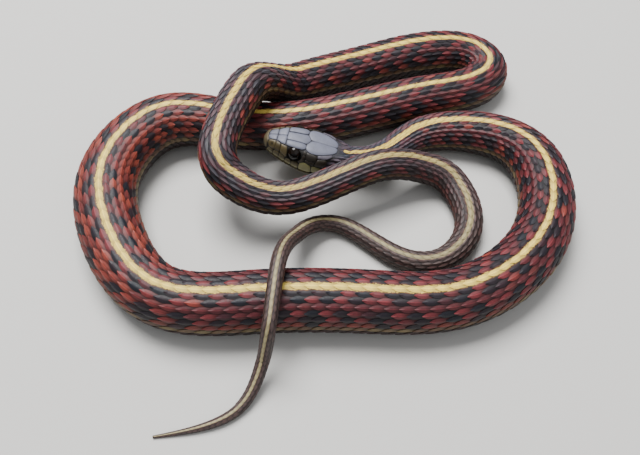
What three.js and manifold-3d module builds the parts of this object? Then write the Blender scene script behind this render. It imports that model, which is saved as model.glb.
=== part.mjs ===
// A garter snake lying in loose coils, life size, as a still model.
// Millimetres, +Z up, floor at z = 0. The origin is the middle of the footprint on the floor.
// The body is a bent taper cut square into lengths, each with its row of belly scutes.
// The head has its crown shields, lip shields, nostrils and eyes, and the lower jaw is a piece of its own.
import * as THREE from "three";
import { mergeVertices } from "three/addons/utils/BufferGeometryUtils.js";
import Module from "manifold-3d";

const wasm = await Module();
wasm.setup();

// Route of the body, chosen by hand: x, y, height of the belly over the floor, width of the body.
// It begins inside the head, 12 mm in front of the nape, and ends at the tip of the tail.
const ROUTE = [
  // raised head and neck
  [-8.2, 13.7, 7.9, 6.4],
  [3.4, 11.7, 5.2, 6.8],
  [13.4, 12.5, 3.1, 7.4],
  [21.6, 18.7, 1, 8.6],
  [32.1, 23.7, 0, 10.8],
  // right loop
  [50.6, 20.3, 0, 12.8],
  [59.1, 5.3, 0, 14.4],
  [53.6, -15.7, 0, 14.6],
  [33.6, -30.7, 0, 14.6],
  // front run, right to left
  [9.6, -32.2, 0, 15.2],
  [-14.9, -32.2, 0, 15.3],
  [-39.4, -30.7, 0, 15],
  // left loop, ending under the hook
  [-54.4, -12.7, 0, 16.2],
  [-57.6, 8.3, 0, 16.3],
  [-45.9, 25.3, 0, 15.8],
  [-26.4, 25.3, 0, 14.2],
  // second run, left to right behind the head
  [-4.9, 26.1, 0, 13.4],
  [19.6, 33.3, 0, 13.2],
  [32.1, 37.1, 0, 12.8],
  // tight turn at the back
  [44.6, 41.1, 0, 12.4],
  [50.1, 48.8, 0, 12.4],
  [44.1, 56, 0, 12.6],
  // back run, right to left
  [31.1, 55.7, 0, 13.1],
  [15.1, 51.2, 0, 12.6],
  [-7.4, 41, 2.5, 11.8],
  // hook over the end of the left loop, coming back in front of the head
  [-21.4, 26.3, 14.5, 10.8],
  [-27.4, 7.3, 14.5, 9.9],
  [-23.4, -1.7, 10.5, 9.5],
  [-8.9, -4.2, 7, 8.7],
  [11.6, 4.6, 8, 8.5],
  // inner loop
  [29.6, 8.6, 2.2, 8.6],
  [37.1, 1.8, 0, 8.2],
  [37.6, -9.7, 0, 7.2],
  [29.6, -18.2, 0, 6.1],
  [17.6, -16.2, 0, 5.5],
  // tail, over the front run and down to the floor
  [4.1, -7.2, 0.5, 4.7],
  [-6.4, -12.7, 5.5, 4.2],
  [-10.9, -27.7, 15, 3.8],
  [-12.4, -41.7, 13.5, 3.4],
  [-14.4, -47.2, 4, 3.2],
  [-20.9, -57.7, 0, 2.5],
  [-38.4, -62.7, 0, 0.7],
];

// Body
const HEIGHT_TO_WIDTH = 0.93;
const BELLY_FLAT = 0.975; // depth of the flat belly, as a part of the half height
const SECTION_SIDES = 14;
const SECTION_POWER = 0.8; // under 1 makes the flanks fuller than an ellipse
const NECK_START = 15.55;
const NECK_LENGTH = 40;
const BODY_LENGTHS = 12;
const BODY_LENGTH = 40.2;
const TAIL_LENGTHS = 4;
const NODE_GAP = 0.3;
const SCUTE_PITCH = 6.7; // one belly scute here for every two real ones
const SCUTE_SEAM = 0.5;
const SCUTE_DEPTH = 0.3;
const SCUTE_DEPTH_LIMIT = 0.04; // of the width, on the thin end of the tail
// How much of the seam's depth the points of a ring take, from the belly's middle outwards.
const SEAM_SHARE = [1, 0.6, 0.1];

// Head, measured forward from the nape along its own axis
const NAPE = [3.4, 11.7, 8.3];
const HEAD_HEADING = 170; // degrees from +X, seen from above
const HEAD_PITCH = 12; // degrees, nose up
const MOUTH_GAP = 0.3;
const EYE_RADIUS = 1.75;
const EYE_AT = [12, 3.9, 0.9];
const NOSTRIL_RADIUS = 0.45;
const NOSTRIL_AT = [18.6, 2.75, 0.5];
const SHIELD_RAISE = 0.25;
const SHIELD_SEAM = 0.25;
const PRISM_REACH = 9; // further than the head reaches from its axis
const MOUTH_FLOOR = -6; // lower than the lips

const COLOURS = {
  crown: 0x8f8d9b,
  jaw: 0x9a9560,
  eye: 0x14110f,
  body: 0x6e332c,
  tail: 0x5b5046,
};

// Smooth value through [position, value] pairs, with no overshoot between them.
function through(pairs, x) {
  const last = pairs.length - 1;
  if (x <= pairs[0][0]) return pairs[0][1];
  if (x >= pairs[last][0]) return pairs[last][1];
  const i = pairs.findIndex((pair) => pair[0] > x) - 1;
  const slope = (k) => (pairs[k + 1][1] - pairs[k][1]) / (pairs[k + 1][0] - pairs[k][0]);
  const tangent = (k) => {
    if (k === 0) return slope(0);
    if (k === last) return slope(last - 1);
    const before = slope(k - 1);
    const after = slope(k);
    return before * after <= 0 ? 0 : (2 * before * after) / (before + after);
  };
  const span = pairs[i + 1][0] - pairs[i][0];
  const t = (x - pairs[i][0]) / span;
  const rise = pairs[i + 1][1] - pairs[i][1];
  const bend = (tangent(i) * (1 - t) + tangent(i + 1) * -t) * span - rise * (1 - 2 * t);
  return pairs[i][1] + rise * t + t * (1 - t) * bend;
}

// Second derivatives of a natural cubic spline through equally spaced values.
function splineBends(values) {
  const n = values.length;
  const upper = new Array(n).fill(0);
  const bends = new Array(n).fill(0);
  for (let i = 1; i < n - 1; i++) {
    const pull = 6 * (values[i + 1] - 2 * values[i] + values[i - 1]);
    upper[i] = 1 / (4 - upper[i - 1]);
    bends[i] = (pull - bends[i - 1]) * upper[i];
  }
  for (let i = n - 2; i > 0; i--) bends[i] -= upper[i] * bends[i + 1];
  return bends;
}

// The centre line of the body. Its parameter runs evenly from waypoint to waypoint.
class BodyLine extends THREE.Curve {
  constructor(route) {
    super();
    this.spans = route.length - 1;
    this.plan = [0, 1].map((axis) => route.map((waypoint) => waypoint[axis]));
    this.planBends = this.plan.map(splineBends);
    this.lifts = route.map((waypoint, i) => [i, waypoint[2]]);
    this.widths = route.map((waypoint, i) => [i, waypoint[3]]);
    this.arcLengthDivisions = 4000;
  }

  width(t) {
    return through(this.widths, t * this.spans);
  }

  getPoint(t, target = new THREE.Vector3()) {
    const u = t * this.spans;
    const i = Math.min(Math.floor(u), this.spans - 1);
    const b = u - i;
    const a = 1 - b;
    const [x, y] = this.plan.map((values, axis) => {
      const bends = this.planBends[axis];
      const curved = (a ** 3 - a) * bends[i] + (b ** 3 - b) * bends[i + 1];
      return a * values[i] + b * values[i + 1] + curved / 6;
    });
    const halfHeight = (this.width(t) * HEIGHT_TO_WIDTH) / 2;
    return target.set(x, y, through(this.lifts, u) + halfHeight * BELLY_FLAT);
  }

  // Centre, level sideways direction, upward direction and width at a distance along the body.
  frameAt(distance) {
    const u = THREE.MathUtils.clamp(distance / this.getLength(), 0, 1);
    const centre = this.getPointAt(u);
    const ahead = this.getTangentAt(u);
    const side = new THREE.Vector3().crossVectors(new THREE.Vector3(0, 0, 1), ahead).normalize();
    const up = new THREE.Vector3().crossVectors(ahead, side);
    return { centre, side, up, width: this.width(this.getUtoTmapping(u)) };
  }
}

const line = new BodyLine(ROUTE);

// A closed solid from rings of equal count, with its two ends closed by fans.
function loft(rings) {
  const sides = rings[0].length;
  const points = rings.flat();
  const faces = [];
  for (let r = 0; r < rings.length - 1; r++) {
    for (let k = 0; k < sides; k++) {
      const a = r * sides + k;
      const b = r * sides + ((k + 1) % sides);
      faces.push(a, b, b + sides, a, b + sides, a + sides);
    }
  }
  for (const [r, turned] of [
    [0, true],
    [rings.length - 1, false],
  ]) {
    const middle = new THREE.Vector3();
    for (const point of rings[r]) middle.addScaledVector(point, 1 / sides);
    points.push(middle);
    const hub = points.length - 1;
    for (let k = 0; k < sides; k++) {
      const a = r * sides + k;
      const b = r * sides + ((k + 1) % sides);
      faces.push(...(turned ? [hub, b, a] : [hub, a, b]));
    }
  }
  const geometry = new THREE.BufferGeometry().setFromPoints(points);
  geometry.setIndex(faces);
  return geometry;
}

// Ring of the body: round back and flanks, and a flat belly, drawn in by the depth of a seam.
function bodyRing(distance, seam = 0) {
  const { centre, side, up, width } = line.frameAt(distance);
  const halfWidth = width / 2;
  const halfHeight = halfWidth * HEIGHT_TO_WIDTH;
  const ring = [];
  for (let k = 0; k < SECTION_SIDES; k++) {
    const angle = ((k + 0.5) / SECTION_SIDES) * 2 * Math.PI - Math.PI / 2;
    const across = Math.sign(Math.cos(angle)) * Math.abs(Math.cos(angle)) ** SECTION_POWER;
    const fromBelly = Math.min(k, SECTION_SIDES - 1 - k);
    const drawnIn = 1 - (seam * (SEAM_SHARE[fromBelly] ?? 0)) / halfHeight;
    ring.push(
      centre
        .clone()
        .addScaledVector(side, halfWidth * across * drawnIn)
        .addScaledVector(up, halfHeight * Math.sin(angle) * drawnIn),
    );
  }
  return ring;
}

// One length of the body, from one distance along it to another, with a seam between each two scutes.
function bodyLength(from, to) {
  const start = from + NODE_GAP / 2;
  const end = to - NODE_GAP / 2;
  const scutes = Math.round((end - start) / SCUTE_PITCH);
  const pitch = (end - start) / scutes;
  const rings = [bodyRing(start)];
  for (let i = 1; i < scutes; i++) {
    const seamAt = start + pitch * i;
    const depth = Math.min(SCUTE_DEPTH, line.frameAt(seamAt).width * SCUTE_DEPTH_LIMIT);
    rings.push(bodyRing(seamAt - SCUTE_SEAM / 2), bodyRing(seamAt, depth), bodyRing(seamAt + SCUTE_SEAM / 2));
  }
  rings.push(bodyRing(end));
  return loft(rings);
}

// Profiles of the head: distance forward of the nape, then the size there.
const HEAD_HALF_WIDTH = [
  [-3.3, 3.5],
  [0, 4.6],
  [3.5, 5.9],
  [7, 6.3],
  [10, 5.9],
  [14, 5],
  [17.5, 3.8],
  [19.6, 2.6],
  [20.5, 1.3],
];
const CROWN_HEIGHT = [
  [-3.3, 3.1],
  [3, 3.5],
  [9, 3.6],
  [13, 3.4],
  [16.8, 2.6],
  [19.6, 1.5],
  [20.5, 0.5],
];
const MOUTH_HEIGHT = [
  [-3.3, -1.2],
  [2, -1.4],
  [5, -2.3],
  [9, -2.6],
  [13, -2.2],
  [17.5, -1.5],
  [20.5, -1],
];
const CHIN_HEIGHT = [
  [-3.3, -3.1],
  [2, -3.9],
  [7, -4.4],
  [12, -3.9],
  [17.3, -2.9],
  [19.7, -2],
];
const HEAD_STATIONS = [-3, -1, 1.5, 4, 6.5, 9, 11, 13, 15, 16.8, 18.3, 19.5, 20.2, 20.5];
const JAW_STATIONS = [-3, -1, 1.5, 4, 6.5, 9, 12, 15, 17, 18.7, 19.7];

// Half outline of the upper head: part of the half width, and part of the height from lip to crown.
const HEAD_SECTION = [
  [0.42, 1],
  [0.7, 0.92],
  [0.88, 0.7],
  [0.97, 0.42],
  [1, 0.14],
  [0.95, 0],
];
// Half outline of the lower jaw: part of the half width, and part of the depth from lip to chin.
const JAW_SECTION = [
  [0.93, 0],
  [0.93, 0.3],
  [0.78, 0.75],
  [0.4, 1],
];

// A ring across the head from its half outline, mirrored to the other side, drawn in by a depth.
function headRing(x, outline, height, drawnIn = 0) {
  const halfWidth = through(HEAD_HALF_WIDTH, x);
  const inward = 1 - drawnIn / halfWidth;
  const half = outline.map(([across, part]) => [across * halfWidth * inward, height(x, part * inward)]);
  const left = half.map(([across, z]) => new THREE.Vector3(x, across, z));
  const right = half.map(([across, z]) => new THREE.Vector3(x, -across, z)).reverse();
  return [...left, ...right].reverse();
}

const upperHeight = (x, part) => {
  const lip = through(MOUTH_HEIGHT, x);
  return lip + (through(CROWN_HEIGHT, x) - lip) * part;
};
const lowerHeight = (x, part) => {
  const lip = through(MOUTH_HEIGHT, x) - MOUTH_GAP;
  return lip + (through(CHIN_HEIGHT, x) - lip) * part;
};

// Left halves of the crown shields, seen from above: forward of the nape, then out from the midline.
const CROWN_SHIELDS = [
  // parietal
  [
    [0.3, 0.15],
    [7.3, 0.15],
    [8.6, 1.4],
    [8.9, 3.2],
    [7, 4.1],
    [3, 3.2],
    [0.8, 1.6],
  ],
  // supraocular
  [
    [9.1, 1.7],
    [11.5, 1.45],
    [14.2, 1.7],
    [14.4, 3.3],
    [12, 4.2],
    [9.3, 3.9],
  ],
  // prefrontal
  [
    [14.4, 0.15],
    [16.7, 0.15],
    [16.8, 3.1],
    [15.6, 3.4],
    [14.6, 3],
    [14.5, 1.5],
  ],
  // internasal
  [
    [17, 0.15],
    [19.1, 0.15],
    [19.3, 1.1],
    [18.6, 2.1],
    [17.1, 2.9],
  ],
];
// The frontal shield lies across the midline.
const FRONTAL_SHIELD = [
  [7.7, 0],
  [8.9, 1.4],
  [11.5, 1.15],
  [14.1, 1.4],
  [14.1, -1.4],
  [11.5, -1.15],
  [8.9, -1.4],
];
// Edges between the seven lip shields, forward of the nape, and the height of their upper edge.
const LIP_SEAMS = [3.4, 6.6, 9.2, 11.3, 13.2, 15, 16.8, 18.9];
const LIP_SHIELD_TOP = [
  [3.4, 0],
  [8, 0.2],
  [10, -0.6],
  [12, -1.1],
  [14.5, -0.4],
  [18.9, -0.1],
];
const LOWER_LIP_SHIELD_HEIGHT = 1.1;
const CHEEK_SHIELDS = [
  // temporals, postocular, preocular, loreal and nasal, seen from the side: forward, up
  [
    [3.6, 0.3],
    [6.4, 0.5],
    [6.2, 2.4],
    [3.8, 2.2],
  ],
  [
    [6.7, 0.5],
    [9.4, 0.3],
    [9.6, 2.5],
    [6.5, 2.4],
  ],
  [
    [14.3, -0.1],
    [15.9, -0.1],
    [16.2, 1.5],
    [14.5, 2],
  ],
  [
    [16.2, 0],
    [17.9, 0],
    [17.9, 1.2],
    [16.4, 1.4],
  ],
];

function solidOf(geometry) {
  const bare = geometry.clone();
  bare.deleteAttribute("normal");
  bare.deleteAttribute("uv");
  const merged = mergeVertices(bare, 1e-5);
  return new wasm.Manifold(
    new wasm.Mesh({
      numProp: 3,
      vertProperties: new Float32Array(merged.attributes.position.array),
      triVerts: new Uint32Array(merged.index.array),
    }),
  );
}

// The largest closed surface of a solid, as three.js geometry.
function geometryOf(solid) {
  const bodies = solid.decompose().sort((a, b) => b.volume() - a.volume());
  const mesh = bodies[0].getMesh();
  const geometry = new THREE.BufferGeometry();
  geometry.setAttribute("position", new THREE.BufferAttribute(new Float32Array(mesh.vertProperties), 3));
  geometry.setIndex(Array.from(mesh.triVerts));
  return geometry;
}

function eyeGeometry(side) {
  return new THREE.SphereGeometry(EYE_RADIUS, 14, 10).translate(EYE_AT[0], EYE_AT[1] * side, EYE_AT[2]);
}

// Upright prism over an outline seen from above.
function uprightPrism(outline) {
  const shape = new THREE.Shape(outline.map(([x, y]) => new THREE.Vector2(x, y)));
  return solidOf(new THREE.ExtrudeGeometry(shape, { depth: PRISM_REACH, bevelEnabled: false }));
}

// Prism out to one side over an outline seen from the side, given as forward and up.
function sidewaysPrism(outline, side) {
  const shape = new THREE.Shape(outline.map(([x, z]) => new THREE.Vector2(x, z)));
  const geometry = new THREE.ExtrudeGeometry(shape, { depth: PRISM_REACH, bevelEnabled: false });
  geometry.rotateX(Math.PI / 2);
  if (side > 0) geometry.translate(0, PRISM_REACH, 0);
  return solidOf(geometry);
}

// The four corners of a lip shield between two seams, between two heights.
function lipShield(back, front, lower, upper) {
  const half = SHIELD_SEAM / 2;
  const [from, to] = [back + half, front - half];
  return [
    [from, lower(from)],
    [to, lower(to)],
    [to, upper(to)],
    [from, upper(from)],
  ];
}

// All lip shields of one side.
function lipShields(side, lower, upper) {
  const pairs = LIP_SEAMS.slice(1).map((front, i) => [LIP_SEAMS[i], front]);
  return pairs.map(([back, front]) => sidewaysPrism(lipShield(back, front, lower, upper), side));
}

const mirrored = (outline) => outline.map(([x, y]) => [x, -y]).reverse();

function upperHead() {
  const skin = (depth) => solidOf(loft(HEAD_STATIONS.map((x) => headRing(x, HEAD_SECTION, upperHeight, depth))));
  const below = () => MOUTH_FLOOR;
  const prisms = [uprightPrism(FRONTAL_SHIELD)];
  for (const outline of CROWN_SHIELDS) prisms.push(uprightPrism(outline), uprightPrism(mirrored(outline)));
  for (const side of [1, -1]) {
    prisms.push(...lipShields(side, below, (x) => through(LIP_SHIELD_TOP, x)));
    prisms.push(...CHEEK_SHIELDS.map((outline) => sidewaysPrism(outline, side)));
  }
  const shields = wasm.Manifold.union(prisms).intersect(skin(0));
  let solid = skin(SHIELD_RAISE).add(shields);
  for (const side of [1, -1]) {
    const socket = new THREE.SphereGeometry(EYE_RADIUS + NODE_GAP, 16, 12);
    socket.translate(EYE_AT[0], EYE_AT[1] * side, EYE_AT[2]);
    const nostril = new THREE.SphereGeometry(NOSTRIL_RADIUS, 8, 6);
    nostril.translate(NOSTRIL_AT[0], NOSTRIL_AT[1] * side, NOSTRIL_AT[2]);
    solid = solid.subtract(solidOf(socket)).subtract(solidOf(nostril));
  }
  return geometryOf(solid);
}

function lowerJaw() {
  const skin = (depth) => solidOf(loft(JAW_STATIONS.map((x) => headRing(x, JAW_SECTION, lowerHeight, depth))));
  const lower = (x) => through(MOUTH_HEIGHT, x) - MOUTH_GAP - LOWER_LIP_SHIELD_HEIGHT;
  const prisms = [1, -1].flatMap((side) => lipShields(side, lower, () => PRISM_REACH));
  const shields = wasm.Manifold.union(prisms).intersect(skin(0));
  return geometryOf(skin(SHIELD_RAISE).add(shields));
}

const snake = new THREE.Group();

function add(group, name, geometry, colour, roughness = 0.55) {
  const material = new THREE.MeshStandardMaterial({ color: colour, roughness, metalness: 0 });
  const mesh = new THREE.Mesh(geometry, material);
  mesh.name = name;
  group.add(mesh);
}

// The head's own frame: x forward, y to its left, z up from the middle of the nape.
const head = new THREE.Group();
head.position.set(...NAPE);
head.rotation.order = "ZYX";
head.rotation.z = THREE.MathUtils.degToRad(HEAD_HEADING);
head.rotation.y = THREE.MathUtils.degToRad(-HEAD_PITCH);
snake.add(head);

add(head, "head", upperHead(), COLOURS.crown);
add(head, "jaw", lowerJaw(), COLOURS.jaw);
add(head, "eye_left", eyeGeometry(1), COLOURS.eye, 0.1);
add(head, "eye_right", eyeGeometry(-1), COLOURS.eye, 0.1);

const numbered = (word, i) => `${word}_${String(i + 1).padStart(2, "0")}`;

let distance = NECK_START;
add(snake, "neck", bodyLength(distance, distance + NECK_LENGTH), COLOURS.body);
distance += NECK_LENGTH;

for (let i = 0; i < BODY_LENGTHS; i++) {
  add(snake, numbered("body", i), bodyLength(distance, distance + BODY_LENGTH), COLOURS.body);
  distance += BODY_LENGTH;
}

const tailLength = (line.getLength() - distance) / TAIL_LENGTHS;
for (let i = 0; i < TAIL_LENGTHS; i++) {
  add(snake, numbered("tail", i), bodyLength(distance, distance + tailLength), COLOURS.tail);
  distance += tailLength;
}

export default snake;
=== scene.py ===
"""Looks of a garter snake lying in loose coils, a still life-size model.

One skin runs from the snout to the tip of the tail. Over it lie keeled scales, belly scutes and head
shields, as meshes, and the two eyes are pieces of their own. Sizes in the tables are millimetres.
"""

import logging
import math
from collections.abc import Iterator
from contextlib import contextmanager
from dataclasses import dataclass
from enum import Enum

import bmesh
import bpy
import numpy as np
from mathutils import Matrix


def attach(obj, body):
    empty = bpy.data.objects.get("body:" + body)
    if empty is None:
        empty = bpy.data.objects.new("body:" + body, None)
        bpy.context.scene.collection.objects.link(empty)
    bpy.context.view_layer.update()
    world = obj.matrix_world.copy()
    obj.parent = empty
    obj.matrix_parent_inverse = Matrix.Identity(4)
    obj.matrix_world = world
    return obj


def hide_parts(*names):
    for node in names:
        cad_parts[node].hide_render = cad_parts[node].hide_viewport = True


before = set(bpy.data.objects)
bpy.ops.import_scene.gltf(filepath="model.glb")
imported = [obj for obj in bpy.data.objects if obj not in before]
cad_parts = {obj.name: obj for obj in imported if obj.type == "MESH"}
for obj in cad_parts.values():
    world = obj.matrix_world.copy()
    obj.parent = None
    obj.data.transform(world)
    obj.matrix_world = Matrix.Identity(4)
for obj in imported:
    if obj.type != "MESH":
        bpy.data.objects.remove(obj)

log = logging.getLogger("garter_snake")

MM = 0.001
BODY = "root"
# lengths of body and tail in the solids, which the one skin stands for with head, jaw and neck
BODY_NODES = [f"body_{i + 1:02d}" for i in range(12)] + [f"tail_{i + 1:02d}" for i in range(4)]
# where the tail begins, how far before its tip the coat ends, and the depth of the coat
VENT = 538.0
TAIL_MARGIN = 0.05
COAT_DEPTH = 0.3
Points = np.ndarray
Outline = list[tuple[float, float]]

# Route of the body, repeated from the solids: x, y, height of the belly over the floor, width.
ROUTE = [
    (-8.2, 13.7, 7.9, 6.4), (3.4, 11.7, 5.2, 6.8), (13.4, 12.5, 3.1, 7.4), (21.6, 18.7, 1, 8.6),
    (32.1, 23.7, 0, 10.8), (50.6, 20.3, 0, 12.8), (59.1, 5.3, 0, 14.4), (53.6, -15.7, 0, 14.6),
    (33.6, -30.7, 0, 14.6), (9.6, -32.2, 0, 15.2), (-14.9, -32.2, 0, 15.3), (-39.4, -30.7, 0, 15),
    (-54.4, -12.7, 0, 16.2), (-57.6, 8.3, 0, 16.3), (-45.9, 25.3, 0, 15.8), (-26.4, 25.3, 0, 14.2),
    (-4.9, 26.1, 0, 13.4), (19.6, 33.3, 0, 13.2), (32.1, 37.1, 0, 12.8), (44.6, 41.1, 0, 12.4),
    (50.1, 48.8, 0, 12.4), (44.1, 56, 0, 12.6), (31.1, 55.7, 0, 13.1), (15.1, 51.2, 0, 12.6),
    (-7.4, 41, 2.5, 11.8), (-21.4, 26.3, 14.5, 10.8), (-27.4, 7.3, 14.5, 9.9), (-23.4, -1.7, 10.5, 9.5),
    (-8.9, -4.2, 7, 8.7), (11.6, 4.6, 8, 8.5), (29.6, 8.6, 2.2, 8.6), (37.1, 1.8, 0, 8.2),
    (37.6, -9.7, 0, 7.2), (29.6, -18.2, 0, 6.1), (17.6, -16.2, 0, 5.5), (4.1, -7.2, 0.5, 4.7),
    (-6.4, -12.7, 5.5, 4.2), (-10.9, -27.7, 15, 3.8), (-12.4, -41.7, 13.5, 3.4), (-14.4, -47.2, 4, 3.2),
    (-20.9, -57.7, 0, 2.5), (-38.4, -62.7, 0, 0.7),
]
HEIGHT_TO_WIDTH = 0.93
BELLY_FLAT = 0.975
SECTION_POWER = 0.8

# Head, repeated from the solids: forward of the nape, then the size there.
NAPE = (3.4, 11.7, 8.3)
HEAD_HEADING = 170.0
HEAD_PITCH = 12.0
NAPE_DISTANCE = 11.8
HEAD_HALF_WIDTH = [
    (-3.3, 3.5), (0, 4.6), (3.5, 5.9), (7, 6.3), (10, 5.9), (14, 5), (17.5, 3.8), (19.6, 2.6), (20.5, 1.5),
]
CROWN_HEIGHT = [(-3.3, 3.1), (3, 3.5), (9, 3.6), (13, 3.4), (16.8, 2.6), (19.6, 1.5), (20.5, 0.7)]
MOUTH_HEIGHT = [(-3.3, -1.2), (2, -1.4), (5, -2.3), (9, -2.6), (13, -2.2), (17.5, -1.5), (20.5, -1)]
CHIN_HEIGHT = [(-3.3, -3.1), (2, -3.9), (7, -4.4), (12, -3.9), (17.3, -2.9), (19.7, -2), (20.6, -1.3)]
# Half outline of the head, from the middle of the crown to the middle of the chin: share of the half
# girth, share of the half width, and share of the height from lip to crown, or from lip to chin.
CROWN_TO_LIP = [
    (0, 0, 1.01), (0.15, 0.42, 1), (0.252, 0.7, 0.92), (0.348, 0.88, 0.7), (0.444, 0.97, 0.42),
    (0.538, 1, 0.14), (0.59, 0.95, 0),
]
LIP_TO_CHIN = [(0.606, 0.93, 0), (0.64, 0.93, 0.3), (0.72, 0.78, 0.75), (0.86, 0.4, 1), (1, 0, 1.02)]
MOUTH_GAP = 0.3
EYE_RADIUS = 1.9
EYE_AT = (11.5, 3.65, 1.3)


def smooth_through(pairs: list[tuple[float, float]], x: Points) -> Points:
    """Smooth values through [position, value] pairs, with no overshoot between them.

    Args:
        pairs: positions in rising order, each with its value.
        x: positions to read.

    Returns:
        The value at each position.
    """
    at = np.array([pair[0] for pair in pairs], float)
    value = np.array([pair[1] for pair in pairs], float)
    slope = np.diff(value) / np.diff(at)
    both = slope[:-1] * slope[1:]
    total = np.where(both > 0, slope[:-1] + slope[1:], 1)
    tangent = np.concatenate([slope[:1], np.where(both > 0, 2 * both / total, 0), slope[-1:]])
    x = np.clip(np.asarray(x, float), at[0], at[-1])
    i = np.clip(np.searchsorted(at, x, side="right") - 1, 0, len(at) - 2)
    span = at[i + 1] - at[i]
    t = (x - at[i]) / span
    rise = value[i + 1] - value[i]
    bend = (tangent[i] * (1 - t) - tangent[i + 1] * t) * span - rise * (1 - 2 * t)
    return value[i] + rise * t + t * (1 - t) * bend


def ramp(x: Points, low: float, high: float) -> Points:
    """Smooth step from 0 at the low value to 1 at the high one."""
    t = np.clip((np.asarray(x, float) - low) / (high - low), 0, 1)
    return t * t * (3 - 2 * t)


def unit(vectors: Points) -> Points:
    """Vectors of length one."""
    return vectors / np.maximum(np.linalg.norm(vectors, axis=-1, keepdims=True), 1e-12)


def linear(hex_colour: str) -> Points:
    """Linear red, green and blue of an sRGB hex colour such as #8f8d9b."""
    parts = np.array([int(hex_colour[i : i + 2], 16) for i in (1, 3, 5)]) / 255
    return np.where(parts <= 0.04045, parts / 12.92, ((parts + 0.055) / 1.055) ** 2.4)


class BodyLine:
    """The centre line of the body, in millimetres, from inside the head to the tip of the tail."""

    SAMPLES_PER_SPAN = 400

    def __init__(self, route: list[tuple[float, float, float, float]]) -> None:
        """Samples the route closely.

        Args:
            route: waypoints with x, y, height of the belly and width.
        """
        table = np.array(route, float)
        spans = len(route) - 1
        u = np.linspace(0, spans, spans * self.SAMPLES_PER_SPAN + 1)
        plan = [self._spline(table[:, axis], u) for axis in (0, 1)]
        lift = smooth_through(list(enumerate(table[:, 2])), u)
        self.width = smooth_through(list(enumerate(table[:, 3])), u)
        half_height = self.width * HEIGHT_TO_WIDTH / 2
        self.centre = np.stack([plan[0], plan[1], lift + half_height * BELLY_FLAT], axis=1)
        steps = np.linalg.norm(np.diff(self.centre, axis=0), axis=1)
        self.distance = np.concatenate([[0], np.cumsum(steps)])
        self.ahead = unit(np.gradient(self.centre, self.distance, axis=0))
        self.length = float(self.distance[-1])

    @staticmethod
    def _spline(values: Points, u: Points) -> Points:
        """Natural cubic spline through equally spaced values, read at u."""
        n = len(values)
        upper = np.zeros(n)
        bends = np.zeros(n)
        for i in range(1, n - 1):
            pull = 6 * (values[i + 1] - 2 * values[i] + values[i - 1])
            upper[i] = 1 / (4 - upper[i - 1])
            bends[i] = (pull - bends[i - 1]) * upper[i]
        for i in range(n - 2, 0, -1):
            bends[i] -= upper[i] * bends[i + 1]
        i = np.clip(u.astype(int), 0, n - 2)
        b = u - i
        a = 1 - b
        curved = (a**3 - a) * bends[i] + (b**3 - b) * bends[i + 1]
        return a * values[i] + b * values[i + 1] + curved / 6

    def frame_at(self, distance: Points) -> tuple[Points, Points, Points, Points]:
        """Centre, level sideways direction, upward direction and width.

        Args:
            distance: how far along the body, from its start inside the head.

        Returns:
            Four arrays, one row for each distance.
        """
        s = np.clip(distance, 0, self.length)
        centre = np.stack([np.interp(s, self.distance, self.centre[:, k]) for k in range(3)], axis=-1)
        ahead = unit(np.stack([np.interp(s, self.distance, self.ahead[:, k]) for k in range(3)], axis=-1))
        side = unit(np.stack([-ahead[..., 1], ahead[..., 0], np.zeros_like(s)], axis=-1))
        up = np.cross(ahead, side)
        return centre, side, up, np.interp(s, self.distance, self.width)


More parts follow.
